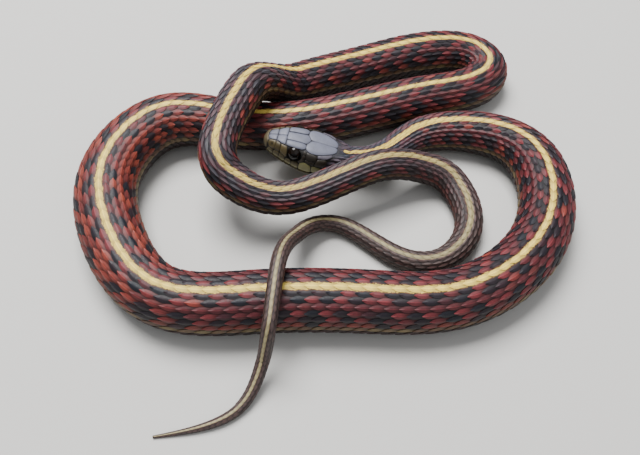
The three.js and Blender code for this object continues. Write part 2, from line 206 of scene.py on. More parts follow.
class SnakeSurface:
    """The outline of the whole animal, as points named by distance, girth and height.

    Distance runs along the animal, from the snout below 0 to the tip of the tail. Girth runs from 0 in
    the middle of the back to 1 down the right side and to -1 down the left, which meet in the middle of
    the belly. Height is over the outline.
    """

    HEAD_ENDS = 14.3
    BODY_STARTS = 16.2
    SNOUT = 20.68
    SNOUT_ROUND = 0.75
    # how far under the middle of the upper head the round of the snout is centred
    SNOUT_DROP = 0.2
    SECTION_STEPS = 721
    # steps either way over which the slope of the outline is read, along and round the animal
    SLOPE_ALONG = 0.15
    SLOPE_ROUND = 0.012
    # width of the body from which the coat has its full depth, and the least share of it on the tail
    FULL_COAT_WIDTH = 9
    THINNEST_COAT = 0.12

    def __init__(self, line: BodyLine) -> None:
        """Prepares the section of the body.

        Args:
            line: the centre line.
        """
        self.line = line
        angle = np.linspace(0, math.pi, self.SECTION_STEPS)
        self.section_across = np.maximum(np.sin(angle), 0) ** SECTION_POWER
        self.section_up = np.maximum(np.cos(angle), -BELLY_FLAT) * HEIGHT_TO_WIDTH
        arc = np.cumsum(np.hypot(np.diff(self.section_across), np.diff(self.section_up)))
        self.section_at = np.concatenate([[0], arc]) / arc[-1]
        heading, pitch = math.radians(HEAD_HEADING), math.radians(HEAD_PITCH)
        self.head_axes = np.array([
            [math.cos(heading) * math.cos(pitch), math.sin(heading) * math.cos(pitch), math.sin(pitch)],
            [-math.sin(heading), math.cos(heading), 0],
            [-math.cos(heading) * math.sin(pitch), -math.sin(heading) * math.sin(pitch), math.cos(pitch)],
        ])

    def from_head(self, local: Points) -> Points:
        """Places points given forward, left and up from the nape."""
        return np.asarray(local, float) @ self.head_axes + np.array(NAPE)

    def _head(self, distance: Points, girth: Points) -> Points:
        """Points on the head's outline, in the part's frame."""
        x = np.minimum(NAPE_DISTANCE - distance, self.SNOUT)
        t = np.abs(girth)
        lip, crown, chin = (smooth_through(table, x) for table in (MOUTH_HEIGHT, CROWN_HEIGHT, CHIN_HEIGHT))
        whole = [row[:2] for row in CROWN_TO_LIP + LIP_TO_CHIN]
        across = smooth_through(whole, t) * smooth_through(HEAD_HALF_WIDTH, x)
        over = lip + (crown - lip) * smooth_through([row[::2] for row in CROWN_TO_LIP], t)
        under_lip = lip - MOUTH_GAP
        under = under_lip + (chin - under_lip) * smooth_through([row[::2] for row in LIP_TO_CHIN], t)
        z = over + (under - over) * ramp(t, CROWN_TO_LIP[-1][0], LIP_TO_CHIN[0][0])
        rounding = np.clip((x - self.SNOUT) / self.SNOUT_ROUND + 1, 0, 1)
        shrink = np.sqrt(np.maximum(1 - rounding**2, 0))
        middle = (lip + crown) / 2 - self.SNOUT_DROP
        local = np.stack([x, -across * shrink * np.sign(girth), middle + (z - middle) * shrink], axis=-1)
        return self.from_head(local)

    def _body(self, distance: Points, girth: Points) -> Points:
        """Points on the body's outline, in the part's frame."""
        centre, side, up, width = self.line.frame_at(distance)
        t = np.abs(girth)
        across = np.interp(t, self.section_at, self.section_across) * np.sign(girth)
        rise = np.interp(t, self.section_at, self.section_up)
        half = (width / 2)[..., None]
        return centre + half * (side * across[..., None] + up * rise[..., None])

    def outline(self, distance: Points, girth: Points) -> Points:
        """Points on the outline, in millimetres.

        Args:
            distance: how far along the animal.
            girth: share of the half girth, signed by side.

        Returns:
            One point for each pair.
        """
        girth = np.where(girth > 1, girth - 2, np.where(girth < -1, girth + 2, girth))
        points = self._body(distance, girth)
        near = distance < self.BODY_STARTS
        if near.any():
            share = ramp(distance[near], self.HEAD_ENDS, self.BODY_STARTS)[..., None]
            points[near] = self._head(distance[near], girth[near]) * (1 - share) + points[near] * share
        return points

    def place(self, distance: Points, girth: Points, height: Points) -> Points:
        """Points at a height over the outline, in millimetres.

        Args:
            distance: how far along the animal.
            girth: share of the half girth, signed by side.
            height: outwards from the outline, or inwards below 0.

        Returns:
            One point for each set of three.
        """
        step, turn = self.SLOPE_ALONG, self.SLOPE_ROUND
        along = self.outline(distance + step, girth) - self.outline(distance - step, girth)
        around = self.outline(distance, girth + turn) - self.outline(distance, girth - turn)
        outward = unit(np.cross(along, around))
        return self.outline(distance, girth) + outward * height[..., None]

    def width(self, distance: Points) -> Points:
        """Width of the animal at a distance along it."""
        body = self.line.frame_at(distance)[3]
        head = 2 * smooth_through(HEAD_HALF_WIDTH, NAPE_DISTANCE - distance)
        share = ramp(distance, self.HEAD_ENDS, self.BODY_STARTS)
        return head * (1 - share) + body * share

    def coat_depth(self, distance: Points) -> Points:
        """Depth of the coat between the skin and the outline, less on the thin end of the tail."""
        return COAT_DEPTH * np.clip(self.width(distance) / self.FULL_COAT_WIDTH, self.THINNEST_COAT, 1)


class Tone(Enum):
    """Colours of the animal, as sRGB hex values."""

    STRIPE = "#f6d566"
    STRIPE_EDGE = "#8f5430"
    BLOTCH = "#0e111b"
    BRICK = "#6a262b"
    ORANGE = "#8c3d2b"
    MAROON = "#3a1a20"
    BEAD = "#7a7048"
    # low flank and belly: their own dark colour, made darker as painted shade under the body
    LOW_FLANK_AND_SHADE = "#1b1510"
    BELLY_AND_SHADE = "#24251b"
    TAIL_BAND = "#3d383f"
    TAIL_FLANK = "#4a3a36"
    TAIL_STRIPE = "#90886c"
    NAPE = "#454855"
    CROWN = "#686a79"
    CHEEK = "#261f16"
    LIP = "#5a5032"
    LIP_BRIGHT = "#8f8a5c"
    SNOUT = "#54482b"
    THROAT = "#757152"
    SEAM = "#17130f"
    CROWN_SEAM = "#35343d"
    TEMPLE = "#55505a"
    ROSTRAL = "#5f543d"

    @property
    def rgb(self) -> Points:
        """The colour as linear red, green and blue."""
        return linear(self.value)


def blend(base: Points, tone: Points, share: Points) -> Points:
    """Mixes a colour into others, by a share for each."""
    return base + (tone - base) * share[..., None]


@dataclass
class Markings:
    """Pattern of the animal by distance along it and place round it, for skin and scales alike."""

    rows: float = 19.0
    scute_edge: float = 0.69
    spot_pitch: float = 7.6
    # rows of scales, counted out from the middle of the back, that each part of the pattern takes
    maroon_rows: tuple[float, float] = (2.5, 3.5)
    fleck_rows: tuple[float, float] = (5.5, 6.5)
    bead_rows: tuple[float, float] = (6.5, 7.5)
    first_spots: tuple[float, ...] = (0.0, 0.6, 1.35, 1.1)
    second_spots: tuple[float, ...] = (0.5, 0.54, 4.7, 1.5)
    stripe_from: float = 13.2

    # half width of the stripe, in rows of scales, by distance
    STRIPE_HALF = [
        (0, 0.5), (14, 0.6), (25, 0.95), (60, 0.6), (105, 0.48), (150, 0.58), (225, 0.5), (300, 0.5),
        (430, 0.7), (560, 0.9), (704, 1.1),
    ]

    def row_of(self, girth: Points) -> Points:
        """Rows out from the middle of the back, as if 19 rows went round everywhere."""
        return np.abs(girth) / self.scute_edge * self.rows / 2

    def wander(self, distance: Points, side: Points, scale: float) -> Points:
        """Slow, uneven drift between -1 and 1 along the body, different on each side."""
        at = distance / scale + side * 17.3
        return (np.sin(at) + np.sin(at * 2.3 + 1.3) * 0.6 + np.sin(at * 4.9 + 0.4) * 0.3) / 1.9

    def warmth(self, distance: Points) -> Points:
        """Share of the orange tinge of the left loop, where the spots are also smaller."""
        return ramp(distance, 185, 220) * (1 - ramp(distance, 285, 320))

    @staticmethod
    def within(row: Points, rows: tuple[float, float]) -> Points:
        """Mask of the places between two rows of scales."""
        blur = 0.1
        return ramp(row, rows[0] - blur, rows[0] + blur) * (1 - ramp(row, rows[1] - blur, rows[1] + blur))

    def spots(self, distance: Points, side: Points, row: Points, layout: tuple[float, ...]) -> Points:
        """Mask of one row of rounded dark spots.

        Args:
            distance: how far along the animal.
            side: 1 or -1.
            row: rows of scales out from the middle of the back.
            layout: where in its pitch the row starts, share of the pitch that a spot takes, row of scales
                on which the spots are centred, and rows from there to a spot's edge.

        Returns:
            1 inside a spot and 0 between spots.
        """
        offset, length, middle, reach = layout
        turns = distance / self.spot_pitch + offset + 0.22 * self.wander(distance, side, 9.0) + side * 0.2
        away = np.abs(turns - np.floor(turns) - 0.5)
        length = length * (1 - 0.22 * self.warmth(distance))
        round_end = np.sqrt(np.maximum(1 - (np.abs(row - middle) / reach) ** 3, 0))
        size = length / 2 * (1 + 0.18 * self.wander(distance, side, 5.0)) * round_end
        return (1 - ramp(away, size - 0.03, size + 0.03)) * (size > 0.06)

    def colour(self, distance: Points, girth: Points, chance: Points) -> Points:
        """Colour of the coat.

        Args:
            distance: how far along the animal.
            girth: place round it.
            chance: a random number from 0 to 1 for each place, the same all over one scale.

        Returns:
            Linear colours.
        """
        side = np.where(girth < 0, -1.0, 1.0)
        row = self.row_of(girth)
        rear = ramp(distance, 410, 470)
        tail = ramp(distance, 520, 580)
        front = 1 - ramp(distance, 18, 50)
        warm = self.warmth(distance) * ramp(row, 1.4, 2.6) * (1 - ramp(row, 6.4, 6.6))
        first = self.spots(distance, side, row, self.first_spots) * ramp(row, 0.4, 0.5)
        second = self.spots(distance, side, row, self.second_spots)
        fleck = self.within(row, self.fleck_rows) * (1 - second) * (1 - ramp(chance, 0.5, 0.8))
        beside = ramp(row, 0.6, 0.9) * (1 - ramp(row, 3.5, 4.4))
        layers = [
            # over the brick red of back and flank: orange scales, the warm left loop, and a darker band
            (Tone.ORANGE, ramp(chance, 0.86, 0.98) * ramp(row, 1, 2) * 0.5),
            (Tone.ORANGE, warm * (0.35 + 0.4 * chance)),
            (Tone.MAROON, self.within(row, self.maroon_rows) * (0.35 + 0.3 * chance) * (1 - warm)),
            (Tone.MAROON, 0.3 * (1 - ramp(chance, 0.05, 0.4))),
            # two rows of dark spots, in checker order
            (Tone.BLOTCH, np.maximum(first, second) * (0.9 + 0.1 * chance)),
            # orange flecks over the side stripe, its pale beads, then the low flank and the belly,
            # # dark by their own colour and darker still as painted shade under the body
            (Tone.ORANGE, fleck * 0.6),
            (Tone.BEAD, self.within(row, self.bead_rows) * (0.35 + 0.5 * chance)),
            (Tone.LOW_FLANK_AND_SHADE, ramp(row, 7.4, 7.6) * (0.75 + 0.25 * chance)),
            (Tone.BELLY_AND_SHADE, ramp(row, 9.4, 10.2)),
            # rear of the body: an even dark band beside the stripe, then brown on the tail
            (Tone.TAIL_BAND, beside * rear * 0.7),
            (Tone.TAIL_FLANK, (1 - ramp(row, 8, 9.4)) * tail * (0.75 + 0.2 * chance)),
            # the neck is greyer towards the head
            (Tone.NAPE, front * (1 - ramp(row, 6, 9)) * (0.5 + 0.35 * chance)),
        ]
        colour = np.broadcast_to(Tone.BRICK.rgb, distance.shape + (3,))
        for tone, share in layers:
            colour = blend(colour, tone.rgb, share)
        # each scale's own random tone, and painted shade that darkens the colour down the flank
        light = (0.88 + 0.24 * chance) * (1 - 0.3 * ramp(row, 3.4, 6.6))
        return colour * light[..., None]

    def stripe_reach(self, distance: Points, girth: Points) -> Points:
        """How far inside the pale stripe a place is, in rows of scales, below 0 outside it.

        Args:
            distance: how far along the animal.
            girth: place round it.

        Returns:
            Rows inside the stripe's edge.
        """
        side = np.where(girth < 0, -1.0, 1.0)
        half = smooth_through(self.STRIPE_HALF, distance) + 0.1 * self.wander(distance, side, 1.1)
        return np.where(distance < self.stripe_from, -1.0, half - self.row_of(girth))

    def stripe_colour(self, distance: Points) -> Points:
        """Colour of the stripe, which turns dull towards the tail."""
        pale = np.broadcast_to(Tone.STRIPE.rgb, distance.shape + (3,))
        stripe = blend(pale, Tone.TAIL_STRIPE.rgb, ramp(distance, 430, 600) * 0.9)
        uneven = 0.94 + 0.08 * self.wander(distance, np.ones_like(distance), 2.1)
        return stripe * uneven[..., None]


# Working meshes


def deselect_all() -> None:
    """Leaves nothing selected, so that an operator acts only on the new piece."""
    if bpy.context.mode != "OBJECT":
        bpy.ops.object.mode_set(mode="OBJECT")
    bpy.ops.object.select_all(action="DESELECT")


def make_active(piece: bpy.types.Object) -> None:
    """Selects one object and makes it the active one."""
    deselect_all()
    piece.select_set(True)
    bpy.context.view_layer.objects.active = piece


@contextmanager
def editing(piece: bpy.types.Object, elements: str = "EDGE") -> Iterator[None]:
    """Edit mode on one object, with all of it selected, and object mode again after that.

    Args:
        piece: the object.
        elements: what is selected, EDGE or FACE.
    """
    make_active(piece)
    bpy.ops.object.mode_set(mode="EDIT")
    bpy.ops.mesh.select_mode(type=elements)
    bpy.ops.mesh.select_all(action="SELECT")
    yield
    bpy.ops.object.mode_set(mode="OBJECT")


def vertex_array(piece: bpy.types.Object) -> Points:
    """Vertices of a mesh object, one row each."""
    flat = np.empty(len(piece.data.vertices) * 3)
    piece.data.vertices.foreach_get("co", flat)
    return flat.reshape(-1, 3)


def set_vertices(piece: bpy.types.Object, points: Points) -> None:
    """Moves the vertices of a mesh object."""
    piece.data.vertices.foreach_set("co", np.asarray(points, float).ravel())
    piece.data.update()


@dataclass
class Pattern:
    """One small shape that is laid over the animal many times.

    Its first coordinate runs backwards along the body from 0 to 1, its second across from -1 to 1, and
    its third is the height.
    """

    points: Points
    faces: list[tuple[int, ...]]

    @classmethod
    def taken_from(cls, piece: bpy.types.Object) -> "Pattern":
        """Reads the shape from a finished object and removes that object."""
        faces = [tuple(polygon.vertices) for polygon in piece.data.polygons]
        pattern = cls(vertex_array(piece), faces)
        bpy.data.objects.remove(piece)
        return pattern


def close_rim(piece: bpy.types.Object, depth: float) -> None:
    """Turns an open sheet into a closed shell: its rim goes down, and one face closes it.

    Args:
        piece: the sheet, whose outward side is up.
        depth: height of the lower face.
    """
    with editing(piece):
        bpy.ops.mesh.region_to_loop()
        bpy.ops.mesh.extrude_edges_move(TRANSFORM_OT_translate={"value": (0, 0, -0.01)})
        shell = bmesh.from_edit_mesh(piece.data)
        for vertex in shell.verts:
            if vertex.select:
                vertex.co.z = depth
        bmesh.update_edit_mesh(piece.data)
        bpy.ops.mesh.edge_face_add()
        bpy.ops.mesh.select_all(action="SELECT")
        bpy.ops.mesh.normals_make_consistent(inside=False)


@dataclass
class Sheet:
    """A small plate shaped from a flat grid, with a rim that goes down to its floor."""

    steps_along: int
    steps_across: int
    root_height: float
    rear_height: float
    floor: float = -1.25

    def shape(self, along: Points, across: Points) -> Points:
        """Places of the grid's points, given from 0 to 1 along it and from -1 to 1 across."""
        raise NotImplementedError

    def build(self) -> Pattern:
        """Shapes the plate and closes it."""
        deselect_all()
        steps = {"x_subdivisions": self.steps_along, "y_subdivisions": self.steps_across}
        bpy.ops.mesh.primitive_grid_add(size=2, **steps)
        sheet = bpy.context.object
        points = vertex_array(sheet)
        set_vertices(sheet, self.shape((points[:, 0] + 1) / 2, points[:, 1]))
        close_rim(sheet, self.floor)
        return Pattern.taken_from(sheet)


@dataclass
class KeeledScale(Sheet):
    """A keeled scale of the back: narrow root under its neighbours, blunt tip, ridge down the middle."""

    steps_along: int = 6
    steps_across: int = 4
    root_height: float = -0.95
    rear_height: float = -0.1
    keel: float = 0.5
    crown_drop: float = 0.3

    WIDTH = [(0, 0.55), (0.2, 0.9), (0.45, 1.0), (0.65, 0.92), (0.82, 0.72), (0.93, 0.48), (1, 0.26)]

    def shape(self, along: Points, across: Points) -> Points:
        """Narrows the scale to root and tip, bends it down to its sides and raises the keel."""
        along = along**0.85
        width = smooth_through(self.WIDTH, along)
        height = self.root_height + (self.rear_height - self.root_height) * ramp(along, -0.25, 0.95)
        fade = ramp(along, 0.1, 0.35) * (1 - ramp(along, 0.9, 1) * 0.4)
        ridge = self.keel * np.maximum(1 - np.abs(across) * 2, 0) * fade
        height = height + ridge - self.crown_drop * (across * width) ** 2
        tip_turn = 0.07 * across**2 * ramp(along, 0.6, 1)
        return np.stack([along - tip_turn, across * width, height], axis=1)


@dataclass
class Scute(Sheet):
    """A belly scute: a wide plate whose rear edge lies over the next one."""

    steps_along: int = 3
    steps_across: int = 16
    root_height: float = -0.9
    rear_height: float = -0.05
    side_drop: float = 0.35

    def shape(self, along: Points, across: Points) -> Points:
        """Raises the rear edge, lowers the sides and rounds the corners."""
        height = self.root_height + (self.rear_height - self.root_height) * ramp(along, -0.2, 0.9)
        height = height - self.side_drop * ramp(np.abs(across), 0.8, 1)
        rounded = along * (1 - 0.22 * ramp(np.abs(across), 0.55, 1))
        return np.stack([rounded, across, height], axis=1)


@dataclass
class RoundPlate:
    """A domed plate on a circle, whose rim is later laid along the outline of a head shield."""

    corners: int = 32
    inner: tuple[float, ...] = (0.97, 0.9, 0.5)

    def build(self) -> Pattern:
        """Makes rings by insets from a filled circle, domes them and closes the rim."""
        deselect_all()
        bpy.ops.mesh.primitive_circle_add(vertices=self.corners, radius=1, fill_type="NGON")
        plate = bpy.context.object
        with editing(plate, "FACE"):
            before = 1.0
            for radius in self.inner:
                bpy.ops.mesh.inset(thickness=(before - radius) * math.cos(math.pi / self.corners), depth=0)
                before = radius
            bpy.ops.mesh.poke()
        points = vertex_array(plate)
        radius = np.hypot(points[:, 0], points[:, 1])
        height = 0.3 + 0.55 * (1 - ramp(radius, 0.92, 1.01)) + 0.25 * (1 - ramp(radius, 0, 0.95))
        set_vertices(plate, np.stack([points[:, 0], points[:, 1], height], axis=1))
        close_rim(plate, -1.0)
        return Pattern.taken_from(plate)


def face_outward(piece: bpy.types.Object) -> None:
    """Turns the faces of closed shells outwards."""
    with editing(piece):
        bpy.ops.mesh.normals_make_consistent(inside=False)


class MeshMaker:
    """Makes joined meshes from arrays, with colours, lie and bake places."""

    SHARP_ANGLE = 50

    @staticmethod
    def build(name: str, points: Points, faces: list[tuple[int, ...]], copies: int) -> bpy.types.Object:
        """Makes one object from many copies of one shape.

        Args:
            name: name of the piece.
            points: copies of the pattern's points, in millimetres, in order.
            faces: the pattern's faces.
            copies: number of copies.

        Returns:
            The new object.
        """
        per_copy = len(points) // copies
        sizes = np.array([len(face) for face in faces])
        corners = np.concatenate([np.array(face) for face in faces])
        offsets = np.arange(copies)[:, None] * per_copy
        loops = (corners[None, :] + offsets).ravel()
        totals = np.tile(sizes, copies)
        starts = np.concatenate([[0], np.cumsum(totals)[:-1]])
        mesh = bpy.data.meshes.new(name)
        mesh.vertices.add(len(points))
        mesh.vertices.foreach_set("co", (points * MM).ravel())
        mesh.loops.add(len(loops))
        mesh.loops.foreach_set("vertex_index", loops.astype(np.int32))
        mesh.polygons.add(len(totals))
        mesh.polygons.foreach_set("loop_start", starts.astype(np.int32))
        mesh.polygons.foreach_set("loop_total", totals.astype(np.int32))
        mesh.update(calc_edges=True)
        mesh.validate()
        piece = bpy.data.objects.new(name, mesh)
        bpy.context.collection.objects.link(piece)
        return piece

    @staticmethod
    def number(piece: bpy.types.Object, name: str, values: Points) -> None:
        """Stores one number for each vertex as an attribute."""
        layer = piece.data.attributes.new(name, "FLOAT", "POINT")
        layer.data.foreach_set("value", values.astype(np.float32))

    @staticmethod
    def colour(piece: bpy.types.Object, name: str, colours: Points) -> None:
        """Stores one linear colour for each vertex as an attribute."""
        layer = piece.data.color_attributes.new(name, "FLOAT_COLOR", "POINT")
        full = np.concatenate([np.clip(colours, 0, 1), np.ones((len(colours), 1))], axis=1)
        layer.data.foreach_set("color", full.astype(np.float32).ravel())

    @staticmethod
    def map_uv(piece: bpy.types.Object, name: str, u: Points, v: Points) -> None:
        """Stores one map place for each vertex on all its corners."""
        layer = piece.data.uv_layers.new(name=name)
        loops = np.empty(len(piece.data.loops), np.int32)
        piece.data.loops.foreach_get("vertex_index", loops)
        places = np.stack([u.ravel(), v.ravel()], axis=1)[loops]
        layer.data.foreach_set("uv", places.astype(np.float32).ravel())

    @staticmethod
    def finish(piece: bpy.types.Object, u: Points, v: Points, material: bpy.types.Material) -> None:
        """Lays out the bake cells, shades smooth but for sharp edges, and gives the material.

        Args:
            piece: the piece.
            u: place of each vertex across the bake map.
            v: place of each vertex up the bake map.
            material: what the piece wears.
        """
        MeshMaker.map_uv(piece, "OFBake", u, v)
        make_active(piece)
        bpy.ops.object.shade_smooth_by_angle(angle=math.radians(MeshMaker.SHARP_ANGLE))
        piece.data.materials.append(material)


# Finishes


class Paint:
    """The node tree of one material, whose fine textures lie in the object's own space."""

    def __init__(self, name: str) -> None:
        """Makes the material with its shader and output.

        Args:
            name: name of the material.
        """
        self.material = bpy.data.materials.new(name)
        self.material.use_nodes = True
        self.tree = self.material.node_tree
        self.tree.nodes.clear()
        self.shader = self.add("ShaderNodeBsdfPrincipled", {})
        self.add("ShaderNodeOutputMaterial", {"Surface": self.shader})
        self.place = self.add("ShaderNodeTexCoord", {}).outputs["Object"]

    def add(self, kind: str, settings: dict) -> bpy.types.Node:
        """Adds a node with its settings and links.

        Args:
            kind: type of the node.
            settings: as for feed.

        Returns:
            The node.
        """
        node = self.tree.nodes.new(kind)
        self.feed(node, settings)
        return node

    def feed(self, node: bpy.types.Node, settings: dict) -> None:
        """Gives a node its settings and links.

        Args:
            node: the node.
            settings: properties by name, and inputs by name or number. An input takes a value, an output
                that is linked to it, or a node whose first output is.
        """
        for name, value in settings.items():
            if isinstance(value, bpy.types.Node):
                value = value.outputs[0]
            if isinstance(value, bpy.types.NodeSocket):
                self.tree.links.new(value, node.inputs[name])
            elif isinstance(name, str) and hasattr(node, name):
                setattr(node, name, value)
            else:
                node.inputs[name].default_value = value

    def finish(self, colour: object, shade: bpy.types.Node, shader: dict, bump: dict) -> bpy.types.Material:
        """Joins a shaded colour, a bump and the rest to the shader.

        Args:
            colour: node or output with the colour.
            shade: node whose value the colour is multiplied by.
            shader: the shader's other settings and links.
            bump: settings and links of the bump, or none.

        Returns:
            The material.
        """
        tinted = self.add("ShaderNodeVectorMath", {"operation": "SCALE", 0: colour, "Scale": shade})
        self.feed(self.shader, {"Base Color": tinted, **shader})
        if bump:
            self.feed(self.shader, {"Normal": self.add("ShaderNodeBump", bump)})
        return self.material


@dataclass(frozen=True)
class ScaleFinish:
    """Keratin of keeled scales, with painted shade in the hollows and a painted highlight along the keel.

    The colour comes from the markings, with a painted highlight along the keel, painted shade towards the
    root and at the rim, fine streaks along each scale and a satin sheen that breaks up over the keels.
    """

    name: str = "Keeled scale keratin"
    roughness: float = 0.54
    grain: float = 0.35

    def build(self) -> bpy.types.Material:
        """Makes the material."""
        paint = Paint(self.name)
        lie = paint.add("ShaderNodeSeparateXYZ", {0: paint.add("ShaderNodeUVMap", {"uv_map": "Lie"})})
        markings, stripe, reach = (
            paint.add("ShaderNodeAttribute", {"attribute_name": name})
            for name in ("Markings", "Stripe", "StripeReach")
        )
        streaks = paint.add(
            "ShaderNodeTexNoise",
            {"Scale": 1 / (self.grain * MM), "Detail": 3.0, "Roughness": 0.6, "Vector": paint.place},
        )
        # distance from the keel, 0 on it and 1 at the scale's side
        across = lie.outputs[1]
        offset = paint.add("ShaderNodeMath", {"operation": "MULTIPLY_ADD", 0: across, 1: 2.0, 2: -1.0})
        aside = paint.add("ShaderNodeMath", {"operation": "ABSOLUTE", 0: offset})
        # the edge of the stripe is ragged over a third of a scale, with an orange tinge just outside it
        ragged = paint.add("ShaderNodeMath", {"operation": "MULTIPLY_ADD", 0: streaks, 1: 0.5, 2: -0.25})
        edge = paint.add("ShaderNodeMath", {"operation": "ADD", 0: reach.outputs["Fac"], 1: ragged})
        # keel gives the painted highlight along the ridge; rim and root give the painted shade at the sides
        # and towards the root
        # smooth steps: the node that is read, where the step starts and ends, and the values there
        keel, rim, root, fringe, inside = (
            paint.add("ShaderNodeMapRange", {"interpolation_type": "SMOOTHSTEP", **dict(enumerate(step))})
            for step in (
                (aside, 0.03, 0.16, 1.0, 0.0), (aside, 0.6, 1.0, 1.0, 0.55), (lie, 0.2, 0.6, 0.38, 1.0),
                (edge, -0.3, 0.0, 0.0, 0.5), (edge, -0.06, 0.06, 0.0, 1.0),
            )
        )
        mottle = paint.add("ShaderNodeMapRange", {0: streaks, 1: 0.3, 2: 0.7, 3: 0.8, 4: 1.2})
        smooth, rough = self.roughness - 0.08, self.roughness + 0.12
        gloss = paint.add("ShaderNodeMapRange", {0: streaks, 1: 0.3, 2: 0.7, 3: smooth, 4: rough})
        # painted shade of rim and root, times the streaks' mottle, times the keel's painted highlight (lift)
        shade = rim
        lift = paint.add("ShaderNodeMath", {"operation": "MULTIPLY_ADD", 0: keel, 1: 0.7, 2: 0.95})
        for factor in (root, mottle, lift):
            shade = paint.add("ShaderNodeMath", {"operation": "MULTIPLY", 0: shade, 1: factor})
        # the stripe is smoother than the flanks, so the shade of roots and rims is weaker in it
        calm = paint.add("ShaderNodeMath", {"operation": "MULTIPLY", 0: inside, 1: 0.45})
        shade = paint.add("ShaderNodeMix", {"data_type": "FLOAT", 0: calm, 2: shade, 3: 1.0})
        fringed = paint.add(
            "ShaderNodeMix", {"data_type": "RGBA", 0: fringe, 6: markings, 7: (*Tone.STRIPE_EDGE.rgb, 1)},
        )
        marked = paint.add(
            "ShaderNodeMix", {"data_type": "RGBA", 0: inside, 6: fringed.outputs[2], 7: stripe},
        )
        bump = {"Strength": 0.35, "Distance": 0.05 * MM, "Height": streaks}
        return paint.finish(marked.outputs[2], shade, {"Roughness": gloss, "IOR": 1.45}, bump)


@dataclass(frozen=True)
class SkinFinish:
    """Thin skin between the scales: matte, finely wrinkled, darker than the scales over it."""

    name: str = "Skin between scales"
    wrinkle: float = 0.22
    roughness: float = 0.68

    def build(self) -> bpy.types.Material:
        """Makes the material."""
        paint = Paint(self.name)
        markings = paint.add("ShaderNodeAttribute", {"attribute_name": "Markings"})
        cells = paint.add("ShaderNodeTexVoronoi", {"Scale": 1 / (self.wrinkle * MM), "Vector": paint.place})
        shade = paint.add("ShaderNodeMapRange", {0: cells, 1: 0.0, 2: 0.7, 3: 1.15, 4: 0.75})
        bump = {"Strength": 0.4, "Distance": 0.06 * MM, "invert": True, "Height": cells}
        return paint.finish(markings, shade, {"Roughness": self.roughness}, bump)


@dataclass(frozen=True)
class ShieldFinish:
    """Smooth keratin of head shields and scutes: a dry, even sheen with faint growth lines and pits."""

    name: str = "Smooth shield keratin"
    roughness: float = 0.48
    pit: float = 0.3
    cloud: float = 2.2

    def build(self) -> bpy.types.Material:
        """Makes the material."""
        paint = Paint(self.name)
        markings = paint.add("ShaderNodeAttribute", {"attribute_name": "Markings"})
        clouds = paint.add(
            "ShaderNodeTexNoise",
            {"Scale": 1 / (self.cloud * MM), "Detail": 5.0, "Roughness": 0.65, "Vector": paint.place},
        )
        grain = paint.add(
            "ShaderNodeTexNoise", {"Scale": 1 / (self.pit * MM), "Detail": 3.0, "Vector": paint.place},
        )
        shade = paint.add("ShaderNodeMapRange", {0: clouds, 1: 0.3, 2: 0.7, 3: 0.84, 4: 1.14})
        smooth, rough = self.roughness - 0.06, self.roughness + 0.12
        gloss = paint.add("ShaderNodeMapRange", {0: grain, 1: 0.3, 2: 0.7, 3: smooth, 4: rough})
        bump = {"Strength": 0.2, "Distance": 0.04 * MM, "Height": grain}
        return paint.finish(markings, shade, {"Roughness": gloss, "IOR": 1.54}, bump)


@dataclass(frozen=True)
class EyeFinish:
    """The clear scale over the eye: wet and glassy over a dark iris with a round pupil."""

    name: str = "Wet eye under its clear scale"
    roughness: float = 0.12
    fibre: float = 0.25

    def build(self) -> bpy.types.Material:
        """Makes the material."""
        paint = Paint(self.name)
        markings = paint.add("ShaderNodeAttribute", {"attribute_name": "Markings"})
        fibres = paint.add(
            "ShaderNodeTexNoise", {"Scale": 1 / (self.fibre * MM), "Detail": 4.0, "Vector": paint.place},
        )
        shade = paint.add("ShaderNodeMapRange", {0: fibres, 1: 0.3, 2: 0.7, 3: 0.7, 4: 1.3})
        glass = {"Roughness": self.roughness, "IOR": 1.34, "Specular IOR Level": 0.6}
        return paint.finish(markings, shade, glass, {})


@dataclass(frozen=True)
class FloorFinish:
    """Pale matt card under the model: an even ground that shows the shadows and no shine."""

    name: str = "Pale matt card"
    colour: str = "#d8d6d2"
    roughness: float = 0.85
    fibre: float = 1.5

    def build(self) -> bpy.types.Material:
        """Makes the material."""
        paint = Paint(self.name)
        fibres = paint.add(
            "ShaderNodeTexNoise", {"Scale": 1 / (self.fibre * MM), "Detail": 4.0, "Vector": paint.place},
        )
        bump = paint.add("ShaderNodeBump", {"Strength": 0.08, "Distance": 0.1 * MM, "Height": fibres})
        card = {"Base Color": (*linear(self.colour), 1), "Roughness": self.roughness, "Normal": bump}
        paint.feed(paint.shader, card)
        return paint.material


# The animal


@dataclass
class Stations:
    """Where the scale rows and scutes stand along the animal."""

    first: float = 9.0
    end_gap: float = 1.2

    # spacing by distance
    PITCH = [
        (0, 1.9), (20, 2.1), (60, 2.9), (120, 3.35), (350, 3.4), (450, 3.1), (538, 2.7), (600, 2.3),
        (650, 1.9), (704, 1.1),
    ]

    def positions(self, length: float) -> Points:
        """Distances of the stations, from the nape to the tip of the tail."""
        places = [self.first]
        while places[-1] < length - self.end_gap:
            places.append(places[-1] + self.pitch(places[-1]))
        return np.array(places)

    def pitch(self, distance: float) -> float:
        """Spacing of the stations there."""
        return float(smooth_through(self.PITCH, np.array(distance)))


